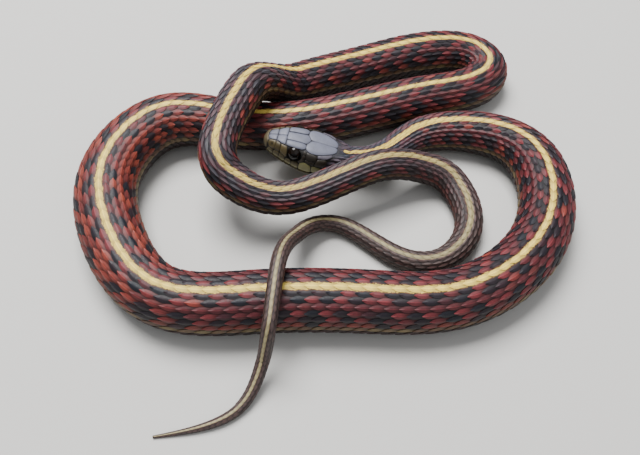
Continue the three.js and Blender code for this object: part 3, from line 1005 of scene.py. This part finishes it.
@dataclass
class Skin:
    """The one skin that stands for all the flesh, from the snout to the tip of the tail."""

    surface: SnakeSurface
    markings: Markings
    half_around: int = 44
    head_step: float = 0.3
    body_step: float = 1.5
    coarse_from: float = 22
    bake_strips: int = 4
    shade: float = 0.3
    mouth_depth: float = 0.45
    socket_depth: float = 1.3

    def _girths(self, distance: Points) -> Points:
        """Places of the ring's points round the animal, closer at the mouth on the head."""
        head = np.concatenate([
            np.linspace(0, 0.585, 26),
            np.linspace(0.592, 0.604, 3),
            np.linspace(0.611, 1, self.half_around - 28),
        ])
        even = np.linspace(0, 1, self.half_around + 1)
        share = ramp(distance, 14, 40)[:, None]
        half = head[None, :] * (1 - share) + even[None, :] * share
        return np.concatenate([-half[:, ::-1], half[:, 1:-1]], axis=1)

    def _height(self, distance: Points, girth: Points) -> Points:
        """Depth of the skin under the outline, with the eye sockets and the mouth line drawn in."""
        depth = -self.surface.coat_depth(distance)
        x = NAPE_DISTANCE - distance
        t = np.abs(girth)
        mouth = (1 - ramp(np.abs(t - 0.598), 0.004, 0.012)) * ramp(x, 2.5, 4)
        depth = depth - self.mouth_depth * mouth
        places = self.surface.outline(distance, girth)
        axis = self.surface.head_axes[1]
        for side in (1, -1):
            away = places - self.surface.from_head(np.array(EYE_AT) * (1, side, 1))
            off_axis = np.linalg.norm(away - (away @ axis)[..., None] * axis, axis=-1)
            hollow = self.socket_depth * (1 - ramp(off_axis, EYE_RADIUS - 0.2, EYE_RADIUS + 0.12))
            depth = depth - np.where(((away @ axis) * side > 0) & (distance < 10), hollow, 0)
        return depth

    def build(self) -> bpy.types.Object:
        """Wraps a grid round the animal, closes its ends and dresses it."""
        snout = NAPE_DISTANCE - self.surface.SNOUT
        tail_end = self.surface.line.length
        head = np.arange(snout + 0.002, self.coarse_from, self.head_step)
        steps = int((tail_end - self.coarse_from) / self.body_step)
        body = np.linspace(self.coarse_from, tail_end, steps + 1)
        distance = np.concatenate([snout + np.array([0.004, 0.03, 0.09, 0.18]), head[1:], body])
        girth = self._girths(distance)
        count, last = girth.shape[1], len(distance) - 1
        deselect_all()
        bpy.ops.mesh.primitive_grid_add(x_subdivisions=count, y_subdivisions=last, size=2)
        piece = bpy.context.object
        piece.name = piece.data.name = "skin"
        grid = vertex_array(piece)
        column = np.rint((grid[:, 0] + 1) / 2 * count).astype(int)
        row = np.rint((grid[:, 1] + 1) / 2 * last).astype(int)
        along = distance[row]
        around = girth[row, column % count]
        points = self.surface.place(along, around, self._height(along, around))
        set_vertices(piece, points * MM)
        strip_length = (tail_end - distance[0]) / self.bake_strips
        share = (along - distance[0]) / strip_length
        turn = np.where(column == count, 1.0, (around + 1) / 2)
        self._bake_map(piece, share, turn)
        tone = self.markings.colour(along, around, np.full(len(along), 0.5))
        inside = ramp(self.markings.stripe_reach(along, around), -0.1, 0.1)
        tone = blend(tone, self.markings.stripe_colour(along), inside) * self.shade
        # on the head the skin shows only in the seams between the shields
        crown = 1 - ramp(np.abs(around), 0.2, 0.24)
        seam = blend(np.broadcast_to(Tone.SEAM.rgb, tone.shape), Tone.CROWN_SEAM.rgb, crown)
        tone = blend(tone, seam, 1 - ramp(along, 10, 14))
        MeshMaker.colour(piece, "Markings", tone)
        self._close(piece)
        piece.data.materials.append(SkinFinish().build())
        return piece

    def _bake_map(self, piece: bpy.types.Object, share: Points, turn: Points) -> None:
        """Lays the skin out in strips, one over the other."""
        mesh = piece.data
        while mesh.uv_layers:
            mesh.uv_layers.remove(mesh.uv_layers[0])
        layer = mesh.uv_layers.new(name="OFBake")
        loops = np.empty(len(mesh.loops), np.int32)
        mesh.loops.foreach_get("vertex_index", loops)
        corners = share[loops].reshape(-1, 4)
        strip = np.clip(np.floor(corners.mean(axis=1)), 0, self.bake_strips - 1)
        u = (corners - strip[:, None]).ravel()
        v = (np.repeat(strip, 4) + 0.02 + turn[loops] * 0.96) / self.bake_strips
        layer.data.foreach_set("uv", np.stack([0.01 + 0.98 * u, v], axis=1).astype(np.float32).ravel())

    @staticmethod
    def _close(piece: bpy.types.Object) -> None:
        """Joins the seam under the belly and closes the snout and the tail."""
        with editing(piece):
            bpy.ops.mesh.remove_doubles(threshold=0.000002)
            bpy.ops.mesh.select_all(action="SELECT")
            bpy.ops.mesh.region_to_loop()
            bpy.ops.mesh.edge_face_add()
            bpy.ops.mesh.select_all(action="SELECT")
            bpy.ops.mesh.normals_make_consistent(inside=False)
        piece.data.shade_smooth()


@dataclass
class Covering:
    """What scales and scutes share: where they lie on the animal, and how."""

    surface: SnakeSurface
    markings: Markings
    stations: Stations

    def lay(
        self, pattern: Pattern, root: Points, reach: Points, girth: Points, spread: Points, lead: float
    ) -> tuple[Points, Points, Points]:
        """Lays copies of a shape over the animal.

        Args:
            pattern: the shape.
            root: how far along the animal each copy stands.
            reach: length of each copy.
            girth: place of each copy round the animal.
            spread: half width of each copy, as girth.
            lead: share of the length that lies in front of the root.

        Returns:
            Distance, girth and place of every point.
        """
        along, across, over = pattern.points.T
        distance = root[:, None] + (along - lead) * reach[:, None]
        distance = np.minimum(distance, self.surface.line.length - TAIL_MARGIN).ravel()
        around = (girth[:, None] + across * spread[:, None]).ravel()
        height = (over * self.surface.coat_depth(root)[:, None]).ravel()
        return distance, around, self.surface.place(distance, around, height)


@dataclass
class Coat(Covering):
    """Keeled scales in rows over the back and flanks, as five joined meshes."""

    length_in_pitches: float = 1.42
    width_in_rows: float = 1.1
    lead: float = 0.3
    seed: int = 41

    # number of rows round the animal, from each distance on
    ROWS = [(0, 19), (395, 17), (540, 15), (566, 13), (590, 11), (618, 9), (650, 7), (684, 5)]
    # distance at which the scales start behind the head shields, by girth
    STARTS = [(0, 11.4), (0.13, 11.1), (0.2, 10.4), (0.3, 9.6), (0.42, 8.9), (0.6, 8.3), (0.76, 8.8)]
    # stretches of the animal that are a mesh each
    SPLITS = [(0, 150), (150, 285), (285, 420), (420, VENT), (VENT, 720)]

    def _placements(self) -> Points:
        """Distance, girth, pitch, half width, bake column and station of every scale, in a fixed order."""
        places = self.stations.positions(self.surface.line.length)
        edge = self.markings.scute_edge
        found = []
        for number, (station, step) in enumerate(zip(places, np.diff(places))):
            rows = [count for start, count in self.ROWS if station >= start][-1]
            for j in range(rows):
                out = j - (rows - 1) / 2
                girth = out / rows * 2 * edge
                shifted = station + (step / 2 if int(abs(out)) % 2 else 0)
                if shifted >= smooth_through(self.STARTS, abs(girth)):
                    found.append((shifted, girth, step, edge / rows, (j + 0.5) / rows, number))
        return np.array(found).T

    def build(self) -> list[bpy.types.Object]:
        """Lays the scales, one mesh for each stretch of the animal."""
        pattern = KeeledScale().build()
        scales = self._placements()
        chance = np.random.default_rng(self.seed).random(scales.shape[1])
        finish = ScaleFinish().build()
        pieces = []
        for number, (start, end) in enumerate(self.SPLITS):
            chosen = (scales[0] >= start) & (scales[0] < end)
            name = f"scales_{number + 1}"
            pieces.append(self._joined(name, pattern, scales[:, chosen], chance[chosen], finish))
        return pieces

    def _joined(
        self, name: str, pattern: Pattern, part: Points, chance: Points, finish: bpy.types.Material
    ) -> bpy.types.Object:
        """Lays one stretch of scales as a joined mesh.

        Args:
            name: name of the piece.
            pattern: shape of one scale.
            part: where the scales stand, as from _placements.
            chance: one random number for each scale.
            finish: their material.

        Returns:
            The piece.
        """
        root, girth, pitch, spread, column, station = part
        t, a, _ = pattern.points.T
        reach = pitch * self.length_in_pitches
        spread = spread * self.width_in_rows
        distance, around, points = self.lay(pattern, root, reach, girth, spread, self.lead)
        piece = MeshMaker.build(name, points, pattern.faces, len(root))
        # the ground colour is the same all over one scale, and the stripe crosses the scales freely
        each = [np.repeat(values, len(t)) for values in (root + self.lead * reach, girth, chance)]
        MeshMaker.colour(piece, "Markings", self.markings.colour(*each))
        MeshMaker.colour(piece, "Stripe", self.markings.stripe_colour(distance))
        MeshMaker.number(piece, "StripeReach", self.markings.stripe_reach(distance, around))
        MeshMaker.map_uv(piece, "Lie", np.tile(t, len(root)), (np.tile(a, len(root)) + 1) / 2)
        line = (station - station.min())[:, None]
        u = (line + 0.04 + 0.9 * np.clip(t, 0, 1)) / (line.max() + 1)
        v = column[:, None] + a * 0.42 / self.markings.rows
        MeshMaker.finish(piece, u, v, finish)
        return piece


@dataclass
class Belly(Covering):
    """Belly scutes, one row to the vent, and the paired row under the tail."""

    first: float = 12.5
    overlap: float = 1.22
    side_overlap: float = 1.03
    lead: float = 0.15
    seed: int = 43
    cells_per_strip: int = 32

    def build(self) -> bpy.types.Object:
        """Lays the scutes as one joined mesh."""
        pattern = Scute().build()
        places = self.stations.positions(self.surface.line.length)
        places = places[places > self.first]
        edge = 1 - self.markings.scute_edge
        found = []
        for station, pitch in zip(places, np.diff(places)):
            if station < VENT:
                found.append((station, pitch, 1.0, edge))
                continue
            for side, shift in ((1, 0.0), (-1, 0.5)):
                found.append((station + shift * pitch, pitch, side * (1 - edge / 2), edge / 2))
        root, step, girth, spread = np.array(found).T
        t, a, _ = pattern.points.T
        copies = len(root)
        _, around, points = self.lay(
            pattern, root, step * self.overlap, girth, spread * self.side_overlap, self.lead
        )
        points[:, 2] = np.maximum(points[:, 2], 0.0)
        piece = MeshMaker.build("belly_scutes", points, pattern.faces, copies)
        chance = np.repeat(np.random.default_rng(self.seed).random(copies), len(t))
        middle = np.repeat(root, len(t))
        # the markings colour the scutes dark, partly by their own colour and partly as painted shade under
        # the body
        tone = self.markings.colour(middle, np.where(around > 1, around - 2, around), chance)
        throat = 1 - ramp(middle, 20, 60)
        MeshMaker.colour(piece, "Markings", blend(tone, Tone.THROAT.rgb, throat * 0.7))
        strip, cell = np.divmod(np.arange(copies)[:, None], self.cells_per_strip)
        u = (cell + 0.05 + 0.9 * np.clip(t, 0, 1)) / self.cells_per_strip
        v = (strip + 0.5 + a * 0.45) / (copies // self.cells_per_strip + 1)
        MeshMaker.finish(piece, u, v, ShieldFinish("Belly scute keratin", 0.36, 0.5, 3.0).build())
        return piece


@dataclass(frozen=True)
class Shield:
    """One shield of the head.

    Its outline is given as forward of the nape and girth, and is mirrored for the other side.
    """

    outline: Outline
    tone: Points
    raise_by: float = 0.2
    both_sides: bool = True
    nostril: bool = False
    pale_edge: bool = False


@dataclass
class HeadShields:
    """The large shields of crown, cheeks, lips and chin."""

    surface: SnakeSurface
    seed: int = 47
    seam: float = 0.008
    corner_cut: float = 0.13
    # height of the shields' zero under the outline, and depth of the nostril there
    sunk: float = 0.2
    nostril_depth: float = 0.26
    # one unit of girth in half widths of the head, so that a seam is alike in both directions
    girth_unit: float = 2.8

    # lip shields of one side, from the front: rear edge at the lip, then the top corners, front first
    LIP_TOPS = [
        (19.2, 17.4, [(18.7, 0.43), (17.3, 0.44)]), (17.3, 15.6, [(17.2, 0.44), (15.6, 0.42)]),
        (15.5, 13.75, [(15.5, 0.42), (13.75, 0.47)]), (13.65, 11.9, [(13.6, 0.478), (12.0, 0.47)]),
        (11.8, 9.7, [(11.85, 0.468), (9.85, 0.455)]),
        (9.6, 5.95, [(9.6, 0.44), (8.5, 0.405), (7.8, 0.405), (6.4, 0.44)]),
        (5.85, 3.2, [(6.2, 0.432), (4.7, 0.44), (3.3, 0.485)]),
    ]
    LIP_BOTTOM = 0.582
    FIRST_BRIGHT_LIP = 5

    def _crown(self) -> list[Shield]:
        """Blue-grey shields of the crown, as traced on the photograph."""
        grey = Tone.CROWN.rgb
        parietal = [
            (7.75, 0), (0.75, 0), (0.4, 0.05), (0.6, 0.12), (1.4, 0.168), (2.8, 0.195), (4.3, 0.222),
            (5.8, 0.235), (7.2, 0.232), (8.3, 0.215), (8.85, 0.17), (8.8, 0.092), (8.3, 0.05),
        ]
        supraocular = [
            (14.35, 0.106), (12.3, 0.1), (10.6, 0.098), (9.3, 0.102), (8.9, 0.13), (8.85, 0.185),
            (9.6, 0.218), (11, 0.23), (12.8, 0.236), (14.2, 0.232),
        ]
        prefrontal = [
            (14.45, 0), (16.9, 0), (16.95, 0.1), (16.85, 0.175), (15.6, 0.215), (14.5, 0.228), (14.45, 0.1),
        ]
        internasal = [(17, 0), (19.25, 0), (19.4, 0.08), (18.9, 0.18), (17.1, 0.178), (17.05, 0.1)]
        frontal_half = [
            (14.4, 0), (14.4, 0.098), (12.3, 0.093), (10.6, 0.09), (9.2, 0.094), (8.75, 0.082), (7.85, 0),
        ]
        frontal = frontal_half + [(x, -girth) for x, girth in frontal_half[-2:0:-1]]
        return [
            Shield(parietal, grey), Shield(supraocular, grey * 1.04, 0.27), Shield(prefrontal, grey),
            Shield(internasal, grey * 0.96), Shield(frontal, grey, both_sides=False),
        ]

    def _cheeks(self) -> list[Shield]:
        """Dark shields of snout and cheeks."""
        dark, olive = Tone.CHEEK.rgb, Tone.SNOUT.rgb
        rostral_half = [(19.45, 0), (19.55, 0.09), (19.1, 0.19), (19.35, 0.32), (19.3, 0.575), (20.67, 0.58)]
        rostral = rostral_half + [(x, -girth) for x, girth in rostral_half[:0:-1]]
        temple = Tone.TEMPLE.rgb
        return [
            Shield(rostral, Tone.ROSTRAL.rgb, both_sides=False),
            Shield(
                [(18.9, 0.195), (17.1, 0.188), (17.05, 0.3), (17.2, 0.43), (18.7, 0.42), (19.2, 0.31)],
                olive, nostril=True,
            ),
            Shield([(17, 0.19), (15.7, 0.228), (15.55, 0.41), (17.1, 0.43)], olive * 0.75),
            Shield(
                [(15.6, 0.23), (14.7, 0.242), (13.9, 0.255), (13.5, 0.36), (13.55, 0.462), (15.45, 0.412)],
                olive * 1.2,
            ),
            Shield([(9.3, 0.228), (8.55, 0.225), (8.45, 0.285), (9.2, 0.29)], dark),
            Shield([(9.2, 0.3), (8.45, 0.295), (8.5, 0.35), (9.3, 0.365)], dark * 1.3),
            Shield([(9.3, 0.375), (8.5, 0.36), (8.6, 0.395), (9.8, 0.44), (10.2, 0.43)], dark * 1.6),
            Shield([(8.4, 0.228), (5.6, 0.246), (5.2, 0.3), (5.5, 0.36), (8.35, 0.345)], dark * 0.9),
            Shield([(8.35, 0.352), (5.5, 0.368), (5.9, 0.425), (7.8, 0.395), (8.3, 0.39)], dark * 1.1),
            Shield([(5.4, 0.246), (2.9, 0.205), (1.5, 0.185), (1.3, 0.24), (2.8, 0.285), (5, 0.3)], temple),
            Shield(
                [(5.1, 0.308), (2.8, 0.293), (2.3, 0.36), (3, 0.44), (5.6, 0.42), (5.4, 0.365)], dark * 1.25,
            ),
        ]

    def _lips(self) -> list[Shield]:
        """Upper and lower lip shields: brown in front, two large bright ones behind the eye."""
        shields = []
        for number, (front, back, tops) in enumerate(self.LIP_TOPS):
            outline = [(back, self.LIP_BOTTOM), (front, self.LIP_BOTTOM)] + tops
            bright = number >= self.FIRST_BRIGHT_LIP
            tone = Tone.LIP_BRIGHT.rgb if bright else Tone.LIP.rgb
            light = 1.0 if number == self.FIRST_BRIGHT_LIP else 0.8
            shields.append(Shield(outline, tone * light, pale_edge=not bright))
            low = [(back, 0.7), (front, 0.7), (front + 0.1, 0.613), (back + 0.1, 0.613)]
            shields.append(Shield(low, Tone.LIP.rgb))
        return shields

    def _chin(self) -> list[Shield]:
        """Pale shields under the chin."""
        pale = Tone.THROAT.rgb
        shields = [
            Shield([(12.6, 0.8), (17.2, 0.78), (17.6, 1.0), (12.6, 1.0)], pale),
            Shield([(7.6, 0.82), (12.4, 0.81), (12.4, 1.0), (8.2, 0.98)], pale * 0.95),
            Shield([(17.6, 0.72), (19.2, 0.71), (19.9, 1.0), (17.8, 1.0)], pale * 0.9),
        ]
        for back in np.arange(-0.6, 16.5, 1.9):
            outline = [(back, 0.71), (back + 1.8, 0.71), (back + 1.9, 0.78), (back + 0.2, 0.79)]
            shields.append(Shield(outline, pale * 0.85))
        for back in np.arange(1.4, 7.0, 1.8):
            outline = [(back, 0.8), (back + 1.7, 0.8), (back + 1.9, 0.89), (back + 0.2, 0.9)]
            shields.append(Shield(outline, pale * 0.9))
            shields.append(Shield([(back, 0.91), (back + 1.7, 0.91), (back + 1.7, 1.0), (back, 1.0)], pale))
        return shields

    def _rim(self, shield: Shield, side: int, corners: int) -> Points:
        """Outline of a shield, drawn in by half a seam, with its corners rounded, evenly spaced.

        Args:
            shield: the shield.
            side: 1 for the right, -1 for the left.
            corners: number of points.

        Returns:
            A row of forward places and a row of girths.
        """
        points = np.array(shield.outline, float)
        across = self.surface.width(np.array([NAPE_DISTANCE - points[:, 0].mean()])) / 2 * self.girth_unit
        points[:, 1] *= across
        points = points - self.seam * 1.6 * unit(points - points.mean(axis=0))
        cut = self.corner_cut
        for _ in range(2):
            after = np.roll(points, -1, axis=0)
            pairs = [points * (1 - cut) + after * cut, points * cut + after * (1 - cut)]
            points = np.stack(pairs, axis=1).reshape(-1, 2)
        loop = np.concatenate([points, points[:1]])
        run = np.concatenate([[0], np.cumsum(np.linalg.norm(np.diff(loop, axis=0), axis=1))])
        at = np.linspace(0, run[-1], corners, endpoint=False)
        return np.stack([np.interp(at, run, loop[:, 0]), np.interp(at, run, loop[:, 1]) / across * side])

    def build(self) -> bpy.types.Object:
        """Lays every shield on the head as one joined mesh."""
        plate = RoundPlate()
        pattern = plate.build()
        rng = np.random.default_rng(self.seed)
        spot = pattern.points[:, :2]
        angle = np.arctan2(spot[:, 1], spot[:, 0]) / (2 * math.pi) * plate.corners
        radius = np.minimum(np.hypot(spot[:, 0], spot[:, 1]), 1)
        low = np.floor(angle + 1e-6).astype(int)
        part = angle - low
        all_points, tones = [], []
        for shield in self._crown() + self._cheeks() + self._lips() + self._chin():
            for side in (1, -1) if shield.both_sides else (1,):
                rim = self._rim(shield, side, plate.corners)
                middle = rim.mean(axis=1, keepdims=True)
                on_rim = rim[:, low % plate.corners] * (1 - part) + rim[:, (low + 1) % plate.corners] * part
                x, girth = middle + (on_rim - middle) * radius
                hole = (1 - ramp(radius, 0.1, 0.45)) * shield.nostril
                height = (pattern.points[:, 2] * shield.raise_by - self.sunk) * (1 - hole)
                height = height - self.nostril_depth * hole
                all_points.append(self.surface.place(NAPE_DISTANCE - x, girth, height))
                shade = (0.93 + 0.14 * rng.random()) * (1 - 0.35 * ramp(radius, 0.96, 1.0))
                tone = np.broadcast_to(shield.tone, (len(radius), 3))
                if shield.pale_edge:
                    tone = blend(tone, Tone.LIP_BRIGHT.rgb * 1.1, ramp(np.abs(girth), 0.5, 0.57))
                # the nostril's hole is painted nearly black, as painted shade
                tones.append(tone * (shade * (1 - 0.98 * hole))[:, None])
        copies = len(all_points)
        piece = MeshMaker.build("head_shields", np.concatenate(all_points), pattern.faces, copies)
        MeshMaker.colour(piece, "Markings", np.concatenate(tones))
        face_outward(piece)
        # the lower faces lie a little outside the upper ones in their bake cell
        cells = math.ceil(math.sqrt(copies))
        spot = spot * np.where(pattern.points[:, 2:] < -0.5, 1.06, 1.0) * 0.42 + 0.5
        line, cell = np.divmod(np.arange(copies)[:, None], cells)
        u, v = (cell + spot[:, 0]) / cells, (line + spot[:, 1]) / cells
        MeshMaker.finish(piece, u, v, ShieldFinish().build())
        return piece


@dataclass
class Eyes:
    """The two eyes: a ball with a round pupil and a thin bright ring round it."""

    surface: SnakeSurface
    radius: float = EYE_RADIUS
    bulge: float = 0.05
    pupil: float = 0.62
    iris_colour: str = "#140d08"
    pupil_colour: str = "#040404"

    def build(self) -> list[bpy.types.Object]:
        """Makes both eyes."""
        finish = EyeFinish().build()
        pieces = []
        for name, side in (("eye_left", 1), ("eye_right", -1)):
            deselect_all()
            bpy.ops.mesh.primitive_uv_sphere_add(segments=40, ring_count=24, radius=self.radius)
            piece = bpy.context.object
            piece.name = piece.data.name = f"{name}_globe"
            points = vertex_array(piece)
            # the clear scale stands a little proud over the middle of the eye
            share = np.clip(points[:, 2] / self.radius, -1, 1)
            points = points * (1 + self.bulge * ramp(share, 0.6, 1.0))[:, None]
            local = np.stack([points[:, 0], points[:, 2] * side, points[:, 1]], axis=1)
            set_vertices(piece, self.surface.from_head(local + np.array(EYE_AT) * (1, side, 1)) * MM)
            off_axis = np.where(share > 0, np.sqrt(np.maximum(1 - share**2, 0)), 1)
            ring = 1 - ramp(np.abs(off_axis - self.pupil - 0.05), 0.0, 0.08)
            iris = linear(self.iris_colour) * (1.0 + 0.9 * ring)[:, None]
            dark = 1 - ramp(off_axis, self.pupil - 0.03, self.pupil + 0.02)
            MeshMaker.colour(piece, "Markings", blend(iris, linear(self.pupil_colour), dark))
            face_outward(piece)
            piece.data.shade_smooth()
            piece.data.materials.append(finish)
            pieces.append(piece)
        return pieces


# Studio


@dataclass
class Studio:
    """Pale floor, soft light from above, and the camera of the photograph."""

    floor_size: float = 3.0
    camera_at: tuple[float, float, float] = (-0.0012, -0.1074, 0.150)
    camera_tilt: float = 34.0
    lens: float = 37.69
    sky: tuple[float, float, float] = (0.93, 0.96, 1.0)
    sky_strength: float = 0.36

    def build(self) -> None:
        """Makes floor, lights, world and camera."""
        deselect_all()
        bpy.ops.mesh.primitive_plane_add(size=self.floor_size, location=(0, 0, 0))
        floor = bpy.context.object
        floor.name = "floor"
        with editing(floor):
            bpy.ops.mesh.subdivide(number_cuts=3)
        floor.data.materials.append(FloorFinish().build())
        world = bpy.data.worlds.new("Studio sky")
        world.use_nodes = True
        background = world.node_tree.nodes["Background"]
        background.inputs[0].default_value = (*self.sky, 1)
        background.inputs[1].default_value = self.sky_strength
        bpy.context.scene.world = world
        self._light("key_light", (-0.15, 0.33, 0.78), 0.5, 14.5)
        self._light("fill_light", (0.45, -0.35, 0.6), 0.8, 1.0)
        camera = bpy.data.cameras.new("camera")
        camera.lens = self.lens
        camera.sensor_width = 36
        camera.clip_start = 0.005
        camera.clip_end = 10
        holder = bpy.data.objects.new("camera", camera)
        holder.location = self.camera_at
        holder.rotation_euler = (math.radians(self.camera_tilt), 0, 0)
        bpy.context.collection.objects.link(holder)
        bpy.context.scene.camera = holder

    @staticmethod
    def _light(name: str, place: tuple[float, float, float], size: float, power: float) -> None:
        """Hangs a square soft light that faces the middle of the floor.

        Args:
            name: name of the light.
            place: where it hangs, in metres.
            size: its side, in metres.
            power: watts.
        """
        lamp = bpy.data.lights.new(name, "AREA")
        lamp.size = size
        lamp.energy = power
        holder = bpy.data.objects.new(name, lamp)
        holder.location = place
        away = np.array(place)
        tilt = math.acos(away[2] / np.linalg.norm(away))
        holder.rotation_euler = (tilt, 0, math.atan2(away[1], away[0]) + math.pi / 2)
        bpy.context.collection.objects.link(holder)


def main() -> None:
    """Builds the animal and its studio in order."""
    logging.basicConfig(level=logging.INFO, format="%(name)s: %(message)s")
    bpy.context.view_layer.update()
    surface = SnakeSurface(BodyLine(ROUTE))
    markings = Markings()
    stations = Stations()
    skin = Skin(surface, markings).build()
    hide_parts("head", "jaw", "neck", *BODY_NODES)
    made = [skin]
    coat = Coat(surface, markings, stations).build()
    made += coat
    belly = Belly(surface, markings, stations).build()
    made.append(belly)
    shields = HeadShields(surface).build()
    made.append(shields)
    for piece, node in zip(Eyes(surface).build(), ("eye_left", "eye_right")):
        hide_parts(node)
        made.append(piece)
    for piece in made:
        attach(piece, BODY)
        log.info("%s: %d faces", piece.name, len(piece.data.polygons))
    Studio().build()


if __name__ == "__main__":
    main()
